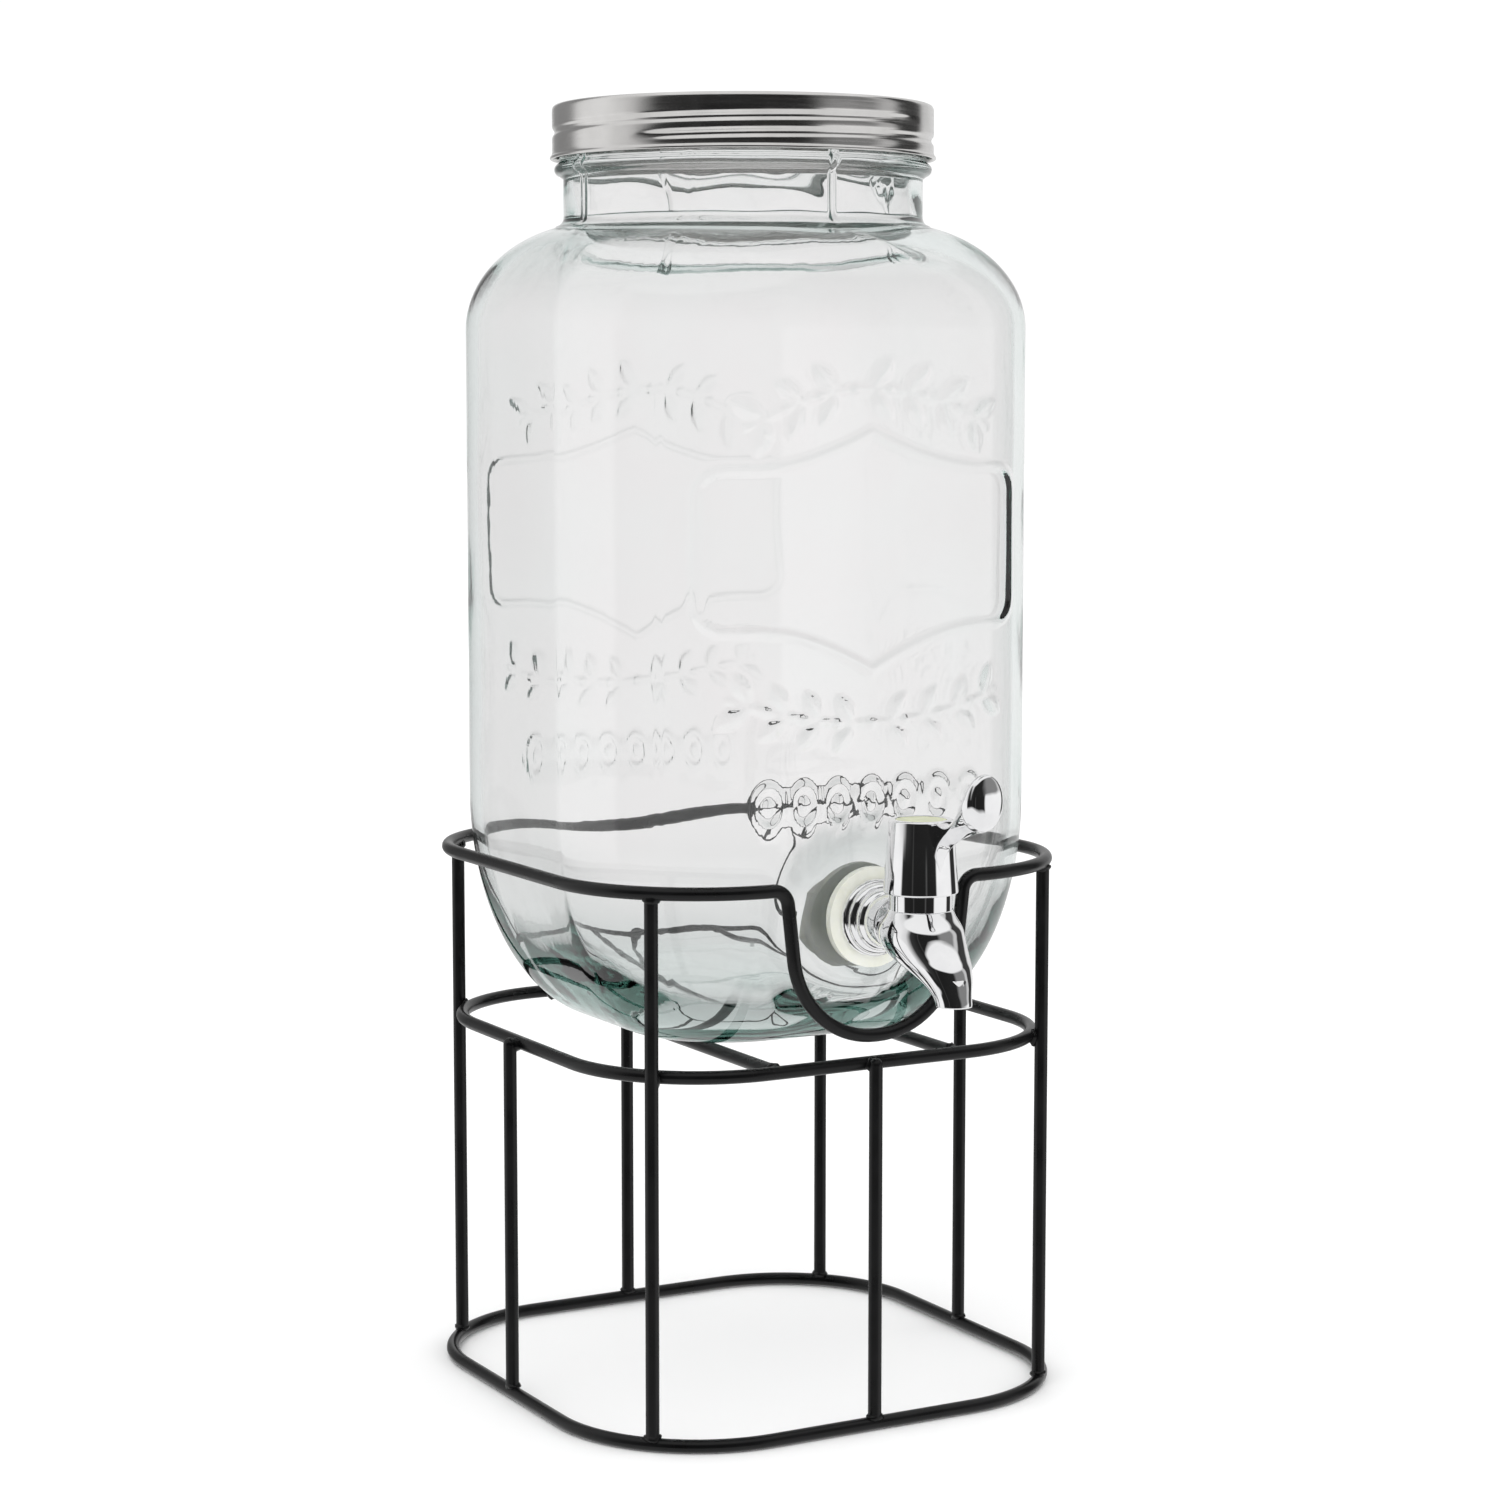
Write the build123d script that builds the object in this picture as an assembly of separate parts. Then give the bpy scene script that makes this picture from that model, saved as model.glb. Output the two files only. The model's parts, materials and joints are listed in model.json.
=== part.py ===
from build123d import *
import os
from math import atan2, cos, pi, radians, sin, sqrt, tan

# Beverage dispenser: a pressed glass jar with a screw lid and a chromed lever tap, standing in a welded
# wire stand. Millimetres. +Z is up, -Y is the tap side, the origin is the middle of the footprint on the
# surface that the stand rests on.

os.makedirs("parts", exist_ok=True)

# ---------------------------------------------------------------- driving dimensions
# wire stand
wire_d = 5.0                    # rod that the whole stand is bent and welded from
stand_half_width = 100.0        # middle of the ring to the middle of its rod
ring_corner_r = 57.0            # rod centreline, base and top ring
stand_leg_height = 136.3        # height of the middle ring's rod centre
bar_half_gap = 38.0             # middle of the stand to a support bar
weld_bite = 0.6                 # share of its radius by which a welded end stops short of the other's centre
notch_top_half = 37.5           # tap notch, half width where its sides leave the top ring
notch_foot_half = 31.0          # tap notch, half width of the corners that its round foot is drawn in
notch_bend_r = 7.0              # bends where the ring turns down into the notch
bend_share = 0.98               # share of a bend's room that it may take, so that a straight is left
notch_below_tap = 43.0          # tap axis down to the notch's lowest rod centre
ring_above_tap = 12.8           # tap axis up to the top ring's rod centre

# glass jar
jar_ring_gap = 2.0              # jar's flat side to the top ring's rod
jar_straight = 30.5             # half length of the flat on each side
glass_wall = 4.5
bowl_depth = 86.2               # rounded lower part, underside up to the straight wall
bowl_inset = 51.0               # how far the bowl curves in, side to underside
bowl_angles = (90, 80, 70, 58, 45, 30, 15)          # degrees down its quarter ellipse, underside first
foot_straight = 18.0            # half length of the flat at the underside
corner_growth = 1.3588          # growth of a corner's radius for each millimetre that the flat shortens
body_height = 178.0             # straight wall
body_levels = (0.0, 0.1, 0.35, 0.65, 0.9, 1.0)      # shares of its height
shoulder_rise = 40.0
shoulder_angles = (15, 30, 45, 60, 71, 80)          # degrees up its quarter ellipse
crown_tuck = 3.1                # shoulder's crown inside the neck's surface
crown_flat = 0.01               # share of the flat that is left at the crown
floor_thickness = 9.0
neck_r = 68.1
neck_height = 20.0              # shoulder's crown up to the neck bead
neck_bead_reach = 3.4           # neck's surface out to the bead's
neck_bead_half = 2.3
finish_reach = 1.5              # neck's surface out to the land that carries the thread
finish_height = 21.6            # neck bead up to the mouth
mouth_round = 1.4

# screw lid
thread_pitch = 6.0
thread_turns = 1.5
lid_thread_turns = 1.0
glass_thread_r = 1.5
lid_thread_r = 0.7
thread_sink = 0.2               # a thread's middle below the surface that carries it
lid_clearance = 0.5             # glass thread to the inside of the skirt
lid_plate = 0.6
lid_skirt = 19.6                # hem's middle up to the lid's top
lid_hem_r = 0.75
lid_round = 2.4
lid_rim = 12.2                  # skirt in to the lid's sunk middle
lid_panel_drop = 1.0
liner_thickness = 1.8
liner_width = 7.1               # thread land in to the liner's hole

# tap
tap_above_seat = 51.7           # underside of the jar up to the tap's axis
boss_setback = 0.5              # jar's flat side in to the boss's flat face
boss_face_r = 20.0
boss_root_r = 31.0
boss_depth = 16.0
inner_pad_r = 21.5
pad_wall = 10.0                 # glass between the two flat faces at the tap
pad_room = 30.0                 # flat recess behind the inner face, for the washer and nut
shank_d = 16.0
shank_clearance = 0.5
shank_length = 31.0             # behind the flange
washer_clearance = 0.1
outer_washer_r = 18.35
outer_washer = 3.2
inner_washer_r = 19.0
inner_washer = 2.5
nut_across_flats = 28.0
nut_thickness = 8.0
flange_r = 14.3
flange = 2.8
step_r = 11.6
step = 2.4
neck_tube_r = 9.6
barrel_offset = 29.0            # flange's front face to the barrel's axis
barrel_wall = 3.15
barrel_top = 18.5               # above the tap's axis
plug_r = 8.0
plug_clearance = 0.05
chamber_below = 9.5             # tap's axis down to the floor of the plug's chamber
plug_below = 6.5
port_r = 4.2
passage_r = 3.5
outlet_r = 4.6
outlet_wall = 1.8
outlet_forward = 22.5           # barrel's axis forward to the outlet's axis
outlet_below = 24.0
outlet_bore = 7.5
spout_half_widths = [11.9, 13.0, 13.8, 12.8, 11.0, 8.9, 6.7]    # from the elbow's top down to the spout
spout_half_depths = [11.5, 15.0, 16.4, 16.9, 14.8, 9.2, 6.5]
spout_forward = [0.0, 0.0, 0.2, 3.5, 10.0, 16.8, 21.3]          # barrel's axis forward to the middle
spout_drop = [-7.0, -2.5, 1.5, 6.7, 11.4, 14.6, 19.8]           # tap's axis down to the section

# tap handle
cap_gap = 0.5
cap_bottom = 13.2               # above the tap's axis
cap_height = 26.4
cap_flare = 2.2                 # barrel out to the cap's lower edge
cap_top_reach = 0.3             # barrel out to the cap's upper edge
skirt_clearance = 0.35
cap_web_bottom = 21.0           # above the tap's axis
cap_socket = 8.0                # square end of the plug
socket_clearance = 0.04
socket_depth = 6.0
disc_rim = 2.5                  # cap's upper edge in to its disc
disc_thickness = 1.6
disc_clearance = 0.1
disc_sunk = 0.3
screw_r = 1.5
screw_head_r = 3.2
screw_head = 2.4
screw_above_socket = 1.0        # head's underside above the socket's floor of the cap
screw_grip = 12.0               # below its head
screw_clearance = 0.04
head_room = 1.0                 # round the screw's head
o_ring_r = 0.55
o_ring_heights = (9.0, 12.6)    # above the tap's axis
clip_thickness = 0.8
clip_groove = 1.0
clip_reach = 1.9
clip_opening = 70.0             # degrees
pad_half = (7.75, 5.0, 10.35)   # thumb pad's half sizes
pad_forward = 39.5              # barrel's axis forward to the pad's middle
pad_above = 49.0                # tap's axis up to the pad's middle
lever_forward = [8.0, 13.0, 20.0, 30.0, 38.0]                   # barrel's axis forward to the section
lever_half_widths = [2.3, 2.3, 3.5, 6.0, 7.0]
lever_half_heights = [8.0, 8.4, 4.9, 4.3, 6.5]
lever_above = [30.3, 30.6, 35.5, 40.1, 46.5]                    # tap's axis up to the section's middle

# ---------------------------------------------------------------- places that follow
wire_r = wire_d / 2
base_ring_z = wire_r
seat_z = stand_leg_height + wire_r
tap_z = seat_z + tap_above_seat
top_ring_z = tap_z + ring_above_tap
notch_z = tap_z - notch_below_tap
middle_half_width = stand_half_width - wire_d
arc_centre = stand_half_width - ring_corner_r
leg_place = arc_centre + ring_corner_r * sqrt(0.5)

jar_half = stand_half_width - wire_r - jar_ring_gap
jar_corner_r = jar_half - jar_straight
neck_bead_r = neck_r + neck_bead_reach
finish_r = neck_r + finish_reach
crown_share = 1 - cos(radians(shoulder_angles[-1]))
crown_corner_r = neck_r - crown_tuck - jar_straight * crown_flat
shoulder_growth = jar_straight * (1 - crown_flat) * corner_growth
shoulder_inset = (jar_corner_r + shoulder_growth - crown_corner_r) / crown_share
bowl_top_z = seat_z + bowl_depth
shoulder_z = bowl_top_z + body_height
crown_z = shoulder_z + shoulder_rise
bead_z = crown_z + neck_height
mouth_z = bead_z + finish_height
bore_r = neck_r - glass_wall

lid_top_z = mouth_z + liner_thickness + lid_plate
lid_inner_r = finish_r + glass_thread_r + lid_clearance
lid_outer_r = lid_inner_r + lid_plate
lid_panel_r = lid_outer_r - lid_rim
liner_inner_r = finish_r - liner_width
hem_z = lid_top_z - lid_skirt
thread_low_z = bead_z + neck_bead_half + thread_pitch

boss_y = boss_setback - jar_half
flange_back_y = boss_y - outer_washer
flange_y = flange_back_y - flange
axis_y = flange_y - barrel_offset
pad_y = boss_y + pad_wall
nut_y = pad_y + inner_washer
shank_r = shank_d / 2
barrel_r = plug_r + plug_clearance + barrel_wall
outlet_y = axis_y - outlet_forward
outlet_z = tap_z - outlet_below
barrel_top_z = tap_z + barrel_top
cap_z = tap_z + cap_bottom
cap_top_z = cap_z + cap_height
stem_z = tap_z + cap_web_bottom
cap_bottom_r = barrel_r + cap_flare
cap_top_r = barrel_r + cap_top_reach
disc_r = cap_top_r - disc_rim
screw_seat_z = stem_z + socket_depth + screw_above_socket


def write(name, shape):
    export_step(shape, f"parts/{name}.step")


# ---------------------------------------------------------------- wire stand
def rod(*edges):
    """Round rod along edges that run smoothly into each other."""
    pieces = []
    for edge in edges:
        section = Plane(origin=edge @ 0, z_dir=edge % 0) * Circle(wire_r)
        pieces.append(sweep(section, path=edge))
    solid = pieces[0]
    for piece in pieces[1:]:
        solid = solid + piece
    return solid


def straight_rod(start, end):
    return rod(Line(start, end))


def corner_arcs(z, corner_r):
    """The four bends of a rounded square ring, each a quarter circle."""
    arcs = []
    for start_angle in (0, 90, 180, 270):
        middle_angle = radians(start_angle + 45)
        centre_x = arc_centre * (1 if cos(middle_angle) > 0 else -1)
        centre_y = arc_centre * (1 if sin(middle_angle) > 0 else -1)
        arcs.append(CenterArc((centre_x, centre_y, z), corner_r, start_angle, 90))
    return arcs


def ring_edges(z, corner_r):
    arcs = corner_arcs(z, corner_r)
    edges = []
    for number, arc in enumerate(arcs):
        following = arcs[(number + 1) % len(arcs)]
        edges.append(arc)
        edges.append(Line(arc @ 1, following @ 0))
    return edges


def notched_ring_edges():
    """Top ring: its front side dips round the tap in a U."""
    front_y = -stand_half_width
    edges = [edge for edge in ring_edges(top_ring_z, ring_corner_r)
             if not (edge.geom_type == GeomType.LINE and abs((edge @ 0.5).Y - front_y) < wire_r)]
    slope = atan2(notch_top_half - notch_foot_half, top_ring_z - notch_z)
    foot_r = notch_foot_half / tan((pi / 2 - slope) / 2) * bend_share
    corners = [(-arc_centre, front_y, top_ring_z),
               (-notch_top_half, front_y, top_ring_z),
               (-notch_foot_half, front_y, notch_z),
               (notch_foot_half, front_y, notch_z),
               (notch_top_half, front_y, top_ring_z),
               (arc_centre, front_y, top_ring_z)]
    bend_room = (arc_centre - notch_top_half) / tan((pi / 2 - slope) / 2)
    bend_r = min(notch_bend_r, bend_room * bend_share)
    dip = FilletPolyline(*corners, radius=[bend_r, foot_r, foot_r, bend_r])
    return edges + list(dip.edges())


def make_stand():
    base_ring = rod(*ring_edges(base_ring_z, ring_corner_r))
    middle_ring = rod(*ring_edges(stand_leg_height, ring_corner_r - wire_d))
    top_ring = rod(*notched_ring_edges())
    write("base_ring", base_ring)
    write("middle_ring", middle_ring)
    write("top_ring", top_ring)

    low_end = base_ring_z + wire_r * weld_bite
    high_end = top_ring_z - wire_r * weld_bite
    for side_y, front_or_back in ((-1, "front"), (1, "back")):
        for side_x, left_or_right in ((-1, "left"), (1, "right")):
            place_x = side_x * leg_place
            place_y = side_y * leg_place
            leg = straight_rod((place_x, place_y, low_end), (place_x, place_y, high_end))
            write(f"corner_leg_{front_or_back}_{left_or_right}", leg - base_ring - top_ring - middle_ring)

    for name, place in {"front": (0, -1), "back": (0, 1), "left": (-1, 0), "right": (1, 0)}.items():
        place_x = place[0] * stand_half_width
        place_y = place[1] * stand_half_width
        leg = straight_rod((place_x, place_y, low_end), (place_x, place_y, stand_leg_height))
        leg = leg + Pos(place_x, place_y, stand_leg_height) * Sphere(wire_r)
        write(f"short_leg_{name}", leg - base_ring - middle_ring)

    bar_end = middle_half_width - wire_r * weld_bite
    for side_x, left_or_right in ((-1, "left"), (1, "right")):
        place_x = side_x * bar_half_gap
        bar = straight_rod((place_x, -bar_end, stand_leg_height), (place_x, bar_end, stand_leg_height))
        write(f"support_bar_{left_or_right}", bar - middle_ring)


# ---------------------------------------------------------------- glass jar
def rounded_square(z, straight, corner_r):
    return Pos(0, 0, z) * RectangleRounded(2 * (straight + corner_r), 2 * (straight + corner_r), corner_r)


def jar_sections(wall, floor):
    """Rounded squares from the underside to the shoulder's crown, set in by wall and up by floor."""
    corner_r = jar_corner_r - wall
    sections = []
    for angle in bowl_angles:
        share = 1 - cos(radians(angle))
        shortening = (jar_straight - foot_straight) * share
        corner = corner_r - bowl_inset * share + shortening * corner_growth
        z = bowl_top_z - (bowl_depth - floor) * sin(radians(angle))
        sections.append(rounded_square(z, jar_straight - shortening, corner))
    for level in body_levels:
        sections.append(rounded_square(bowl_top_z + body_height * level, jar_straight, corner_r))
    for angle in shoulder_angles:
        share = 1 - cos(radians(angle))
        shortening = jar_straight * (1 - crown_flat) * share / crown_share
        corner = corner_r - shoulder_inset * share + shortening * corner_growth
        z = shoulder_z + (shoulder_rise - wall) * sin(radians(angle))
        sections.append(rounded_square(z, jar_straight - shortening, corner))
    return sections


def helical_ridge(radius, low_z, turns, ridge_r):
    path = Helix(pitch=thread_pitch, height=thread_pitch * turns, radius=radius)
    section = Plane(origin=path @ 0, z_dir=path % 0) * Circle(ridge_r)
    return Pos(0, 0, low_z) * sweep(section, path=path, is_frenet=True)


def along_tap(radius, start_y, end_y):
    """Cylinder on the tap's axis between two places along Y."""
    return Pos(0, (start_y + end_y) / 2, tap_z) * Rot(90, 0, 0) * Cylinder(radius, abs(end_y - start_y))


def make_jar():
    body = loft(jar_sections(0, 0))
    neck_foot_z = shoulder_z + shoulder_rise / 2
    neck = Pos(0, 0, (neck_foot_z + bead_z) / 2) * Cylinder(neck_r, bead_z - neck_foot_z)
    finish = Pos(0, 0, (bead_z + mouth_z) / 2) * Cylinder(finish_r, finish_height)
    finish = fillet(finish.edges().sort_by(Axis.Z)[-1], mouth_round)
    bead = Pos(0, 0, bead_z) * Torus(neck_bead_r - neck_bead_half, neck_bead_half)
    boss = Rot(90, 0, 0) * Cone(boss_root_r, boss_face_r, boss_depth)
    jar = body + neck + finish + bead + Pos(0, boss_y + boss_depth / 2, tap_z) * boss

    hollow = loft(jar_sections(glass_wall, floor_thickness))
    mouth = Pos(0, 0, (neck_foot_z + mouth_z) / 2) * Cylinder(bore_r, mouth_z - neck_foot_z)
    jar = jar - hollow - mouth
    pad = along_tap(inner_pad_r, boss_y + pad_wall / 2, pad_y)
    jar = jar + pad - along_tap(inner_pad_r, pad_y, pad_y + pad_room)
    jar = jar - along_tap(shank_r + shank_clearance, boss_y - glass_wall, pad_y + glass_wall)
    jar = jar + helical_ridge(finish_r - thread_sink, thread_low_z, thread_turns, glass_thread_r)

    # one piece of glass, written as four bands that meet face to face
    levels = {"jar_bowl": (seat_z, bowl_top_z), "jar_wall": (bowl_top_z, shoulder_z),
              "jar_shoulder": (shoulder_z, crown_z), "jar_neck": (crown_z, mouth_z)}
    for name, (low_z, high_z) in levels.items():
        band = Box(4 * jar_half, 4 * jar_half, high_z - low_z)
        write(name, jar & Pos(0, 0, (low_z + high_z) / 2) * band)


# ---------------------------------------------------------------- screw lid
def make_lid():
    outline = [(0, lid_top_z - lid_panel_drop),
               (lid_panel_r, lid_top_z - lid_panel_drop),
               (lid_panel_r + 2 * lid_panel_drop, lid_top_z),
               (lid_outer_r - lid_round, lid_top_z),
               (lid_outer_r - lid_round * (1 - sqrt(0.5)), lid_top_z - lid_round * (1 - sqrt(0.5))),
               (lid_outer_r, lid_top_z - lid_round),
               (lid_outer_r, hem_z),
               (lid_inner_r, hem_z),
               (lid_inner_r, lid_top_z - lid_round),
               (lid_inner_r - lid_round + lid_plate, lid_top_z - lid_plate),
               (lid_panel_r + 2 * lid_panel_drop, lid_top_z - lid_plate),
               (lid_panel_r, lid_top_z - lid_panel_drop - lid_plate),
               (0, lid_top_z - lid_panel_drop - lid_plate)]
    section = make_face(Plane.XZ * Polyline(*outline, close=True))
    shell = revolve(section, Axis.Z)
    shell = shell + Pos(0, 0, hem_z) * Torus(lid_outer_r - lid_plate + lid_hem_r, lid_hem_r)
    low_z = thread_low_z - thread_pitch / 2
    shell = shell + helical_ridge(lid_inner_r - thread_sink, low_z, lid_thread_turns, lid_thread_r)
    write("lid_shell", shell)

    liner_outer_r = lid_inner_r - lid_round
    ring = Cylinder(liner_outer_r, liner_thickness) - Cylinder(liner_inner_r, liner_thickness)
    write("lid_liner", Pos(0, 0, mouth_z + liner_thickness / 2) * ring)


# ---------------------------------------------------------------- tap
def upright(radius, low_z, high_z, place_y=axis_y):
    return Pos(0, place_y, (low_z + high_z) / 2) * Cylinder(radius, high_z - low_z)


def make_tap_body():
    shank = along_tap(shank_r, flange_back_y + shank_length, flange_y)
    body = shank + along_tap(flange_r, flange_back_y, flange_y)
    body = body + along_tap(step_r, flange_y, flange_y - step)
    body = body + along_tap(neck_tube_r, flange_y - step, axis_y)
    body = body + upright(barrel_r, tap_z, barrel_top_z)
    sections = []
    for number, drop in enumerate(spout_drop):
        oval = Ellipse(spout_half_widths[number], spout_half_depths[number])
        sections.append(Pos(0, axis_y - spout_forward[number], tap_z - drop) * oval)
    sections.append(Pos(0, outlet_y, outlet_z) * Ellipse(outlet_r + outlet_wall, outlet_r + outlet_wall))
    body = body + loft(sections)

    body = body - along_tap(port_r, flange_back_y + shank_length, axis_y)
    body = body - upright(plug_r + plug_clearance, tap_z - chamber_below, barrel_top_z)
    body = body - upright(outlet_r, outlet_z, outlet_z + outlet_bore, outlet_y)
    start = Vector(0, axis_y - plug_r / 2, tap_z - plug_below)
    end = Vector(0, outlet_y, outlet_z + outlet_bore)
    passage = Plane(origin=start, z_dir=end - start) * Circle(passage_r)
    body = body - extrude(passage, (end - start).length)
    write("tap_body", body)


def make_tap_seals():
    bore = shank_r + washer_clearance
    washer = along_tap(outer_washer_r, flange_back_y, boss_y) - along_tap(bore, flange_back_y, boss_y)
    write("tap_outer_washer", washer)
    washer = along_tap(inner_washer_r, pad_y, nut_y) - along_tap(bore, pad_y, nut_y)
    write("tap_inner_washer", washer)
    hexagon = RegularPolygon(nut_across_flats / 2, 6, major_radius=False)
    nut = extrude(Plane(origin=(0, nut_y, tap_z), z_dir=(0, 1, 0)) * hexagon, nut_thickness)
    write("tap_lock_nut", nut - along_tap(shank_r + screw_clearance, nut_y, nut_y + nut_thickness))


def make_plug():
    plug = upright(plug_r, tap_z - plug_below, stem_z)
    stem = Pos(0, axis_y, stem_z + socket_depth / 2) * Box(cap_socket, cap_socket, socket_depth)
    plug = plug + stem
    plug = plug - upright(port_r, tap_z - plug_below, tap_z)
    plug = plug - Pos(plug_r / 2, axis_y, tap_z) * Rot(0, 90, 0) * Cylinder(port_r, plug_r + port_r / 2)
    for height in o_ring_heights:
        groove = upright(plug_r + o_ring_r, tap_z + height - o_ring_r, tap_z + height + o_ring_r)
        plug = plug - (groove - upright(plug_r - 2 * o_ring_r, tap_z, barrel_top_z))
    groove_z = barrel_top_z + screw_clearance
    groove = upright(plug_r + clip_groove, groove_z, groove_z + clip_thickness)
    plug = plug - (groove - upright(plug_r - clip_groove, barrel_top_z, stem_z))
    thread_r = screw_r + screw_clearance
    plug = plug - upright(thread_r, screw_seat_z - screw_grip - screw_clearance, stem_z + socket_depth)
    write("tap_plug", plug)

    ring = Torus(plug_r - o_ring_r, o_ring_r)
    rings = [(Pos(0, axis_y, tap_z + height) * ring).solid() for height in o_ring_heights]
    write("tap_o_rings", Compound(children=rings))

    clip = upright(plug_r + clip_reach, groove_z, groove_z + clip_thickness)
    clip = clip - upright(plug_r - clip_groove, groove_z, groove_z + clip_thickness)
    mouth_half = plug_r * sin(radians(clip_opening / 2))
    clip = clip - Pos(-plug_r, axis_y, groove_z) * Box(2 * plug_r, 2 * mouth_half, 2 * plug_r)
    write("tap_retaining_clip", clip)


def make_handle():
    cap = Pos(0, axis_y, cap_z + cap_height / 2) * Cone(cap_bottom_r, cap_top_r, cap_height)
    sections = []
    for number, forward in enumerate(lever_forward):
        middle = (0, axis_y - forward, tap_z + lever_above[number])
        oval = Ellipse(lever_half_widths[number], lever_half_heights[number])
        sections.append(Plane(origin=middle, x_dir=(1, 0, 0), z_dir=(0, -1, 0)) * oval)
    thumb_pad = Pos(0, axis_y - pad_forward, tap_z + pad_above) * scale(Sphere(1), by=pad_half)
    handle = cap + loft(sections) + thumb_pad
    handle = handle - upright(barrel_r + skirt_clearance, cap_z, stem_z)
    socket = cap_socket + 2 * socket_clearance
    handle = handle - Pos(0, axis_y, stem_z + socket_depth / 2) * Box(socket, socket, socket_depth)
    handle = handle - upright(screw_r + screw_clearance, stem_z, screw_seat_z)
    disc_z = cap_top_z - disc_sunk - disc_thickness
    handle = handle - upright(screw_head_r + head_room, screw_seat_z, disc_z)
    handle = handle - upright(disc_r + disc_clearance, disc_z, cap_top_z)
    write("tap_handle", handle)

    screw = upright(screw_head_r, screw_seat_z, screw_seat_z + screw_head)
    screw = screw + upright(screw_r, screw_seat_z - screw_grip, screw_seat_z)
    slot = Pos(0, axis_y, screw_seat_z + screw_head) * Box(2 * screw_head_r, screw_r / 2, screw_head / 2)
    write("tap_handle_screw", screw - slot)
    write("tap_cover_disc", upright(disc_r, disc_z, disc_z + disc_thickness))


make_stand()
make_jar()
make_lid()
make_tap_body()
make_tap_seals()
make_plug()
make_handle()
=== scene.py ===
import json
from math import cos, pi, radians, sin

import bpy
import numpy as np
from mathutils import Matrix, Vector


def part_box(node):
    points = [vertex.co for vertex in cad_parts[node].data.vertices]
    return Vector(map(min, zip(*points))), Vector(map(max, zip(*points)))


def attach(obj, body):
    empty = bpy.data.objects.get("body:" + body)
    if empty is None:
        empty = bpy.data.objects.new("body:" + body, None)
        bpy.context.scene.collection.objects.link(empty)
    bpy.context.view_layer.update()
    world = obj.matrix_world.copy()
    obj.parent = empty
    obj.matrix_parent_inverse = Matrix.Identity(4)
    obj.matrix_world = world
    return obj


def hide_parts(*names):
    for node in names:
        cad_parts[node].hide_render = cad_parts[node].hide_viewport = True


# Looks of the beverage dispenser. Lengths are in millimetres until a mesh is made, and -Y is the tap side.
# Angles round the jar are in degrees, counted from +X towards +Y.

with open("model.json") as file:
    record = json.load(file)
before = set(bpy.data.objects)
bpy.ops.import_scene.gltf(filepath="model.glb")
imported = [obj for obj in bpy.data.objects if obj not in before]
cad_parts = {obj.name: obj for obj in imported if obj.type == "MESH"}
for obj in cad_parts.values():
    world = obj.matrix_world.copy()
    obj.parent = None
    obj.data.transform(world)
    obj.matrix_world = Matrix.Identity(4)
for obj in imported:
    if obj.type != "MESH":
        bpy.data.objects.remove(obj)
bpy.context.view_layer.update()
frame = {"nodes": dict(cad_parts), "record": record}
MM = 0.001


def box_mm(node):
    low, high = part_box(node)
    return low / MM, high / MM


# ---------------------------------------------------------------- places taken from the frame
seat_z = box_mm("jar_bowl")[0].z
mouth_z = box_mm("jar_neck")[1].z
lid_low, lid_high = box_mm("lid_shell")
lid_top_z = lid_high.z
washer_low, washer_high = box_mm("tap_outer_washer")
tap_z = (washer_low.z + washer_high.z) / 2
boss_y = washer_high.y
flange_back_y = washer_low.y
pad_y = box_mm("tap_inner_washer")[0].y
disc_low, disc_high = box_mm("tap_cover_disc")
axis_y = (disc_low.y + disc_high.y) / 2
ring_high = box_mm("base_ring")[1]
wire_r = ring_high.z / 2
stand_half = ring_high.x - wire_r
middle_low, middle_high = box_mm("middle_ring")
middle_z = (middle_low.z + middle_high.z) / 2
top_z = box_mm("top_ring")[1].z - wire_r

# ---------------------------------------------------------------- jar's own sizes
JAR_HALF = 95.5
STRAIGHT = 30.5
FOOT_STRAIGHT = 18.0
WALL = 4.5
FLOOR = 11.0
FLOOR_CROWN = 1.5               # rise of the floor at its middle
BOWL_DEPTH = 86.2
BOWL_INSET = 51.0
BODY_HEIGHT = 178.0
SHOULDER_RISE = 40.0
SHOULDER_INSET = 50.0
NECK_R = 68.1
FINISH_R = 69.6
BEAD_R = 71.5
BEAD_HALF = 2.3
FINISH_HEIGHT = 21.6
RIM_R = 1.5                     # rounding of the mouth's rim
COVE_R = 3.5                    # hollow curve between shoulder and neck
THREAD_PITCH = 6.0
THREAD_LOW = 8.3                # above the neck bead
THREAD_TURNS = 1.5
THREAD_HEIGHT = 1.3
THREAD_WIDTH = 1.15
SEAM_ANGLES = (45, 225)         # mould seams, on two opposite corners
SEAM_WIDTH = 0.8

bowl_top_z = seat_z + BOWL_DEPTH
shoulder_z = bowl_top_z + BODY_HEIGHT
bead_z = mouth_z - FINISH_HEIGHT
# a rounded square's half width across the camera's line, for one millimetre of straight side
OBLIQUE = 1.3588
BODY_HALF = STRAIGHT * OBLIQUE + JAR_HALF - STRAIGHT


# ---------------------------------------------------------------- mesh helpers
def make_object(name, verts, faces):
    mesh = bpy.data.meshes.new(name)
    mesh.from_pydata((np.asarray(verts) * MM).tolist(), [], faces)
    mesh.polygons.foreach_set("use_smooth", [True] * len(mesh.polygons))
    mesh.update()
    piece = bpy.data.objects.new(name, mesh)
    bpy.context.scene.collection.objects.link(piece)
    return piece


def skin_faces(rows, around):
    """Quads of a tube whose rows have the same number of points."""
    faces = []
    for row in range(rows - 1):
        low = row * around
        high = low + around
        for column in range(around):
            following = (column + 1) % around
            faces.append((low + column, low + following, high + following, high + column))
    return faces


def fan_faces(first, around, tip, inwards):
    faces = []
    for column in range(around):
        following = (column + 1) % around
        pair = (first + following, first + column) if inwards else (first + column, first + following)
        faces.append((*pair, tip))
    return faces


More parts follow.
